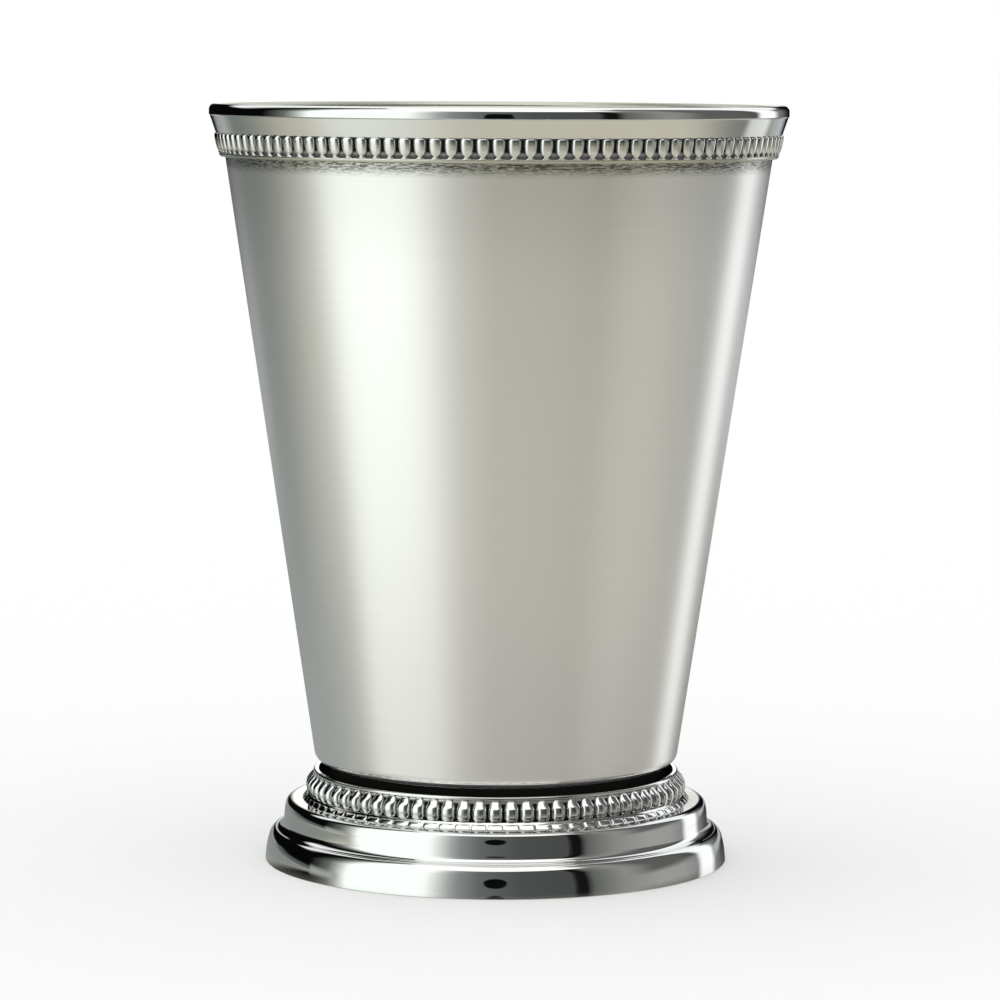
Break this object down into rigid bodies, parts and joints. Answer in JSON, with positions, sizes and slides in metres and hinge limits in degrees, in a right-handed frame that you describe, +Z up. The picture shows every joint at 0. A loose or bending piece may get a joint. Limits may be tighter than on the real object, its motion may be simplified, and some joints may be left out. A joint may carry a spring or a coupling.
{
  "type": "julep cup",
  "caption": "Tapered satin metal drinking cup with a polished beaded band round its mouth, on a stepped polished foot with a beaded collar.",
  "frame": {"origin": "centre of the circle that the foot stands on", "axes": "+Z up along the cup's axis, towards the mouth; the cup is round, so X and Y are free"},
  "size_m": [0.0822, 0.0822, 0.108],
  "materials": {
    "satin_body": "satin, brushed round the cup",
    "polished_trim": "mirror polished",
    "solder": "dull, as it froze"
  },
  "bodies": {
    "root": {"cup_body": "satin_body", "rim_band": "polished_trim", "rim_bead_wire": "polished_trim", "foot": "polished_trim", "foot_bead_wire": "polished_trim", "foot_solder_ring": "solder"}
  },
  "joints": []
}
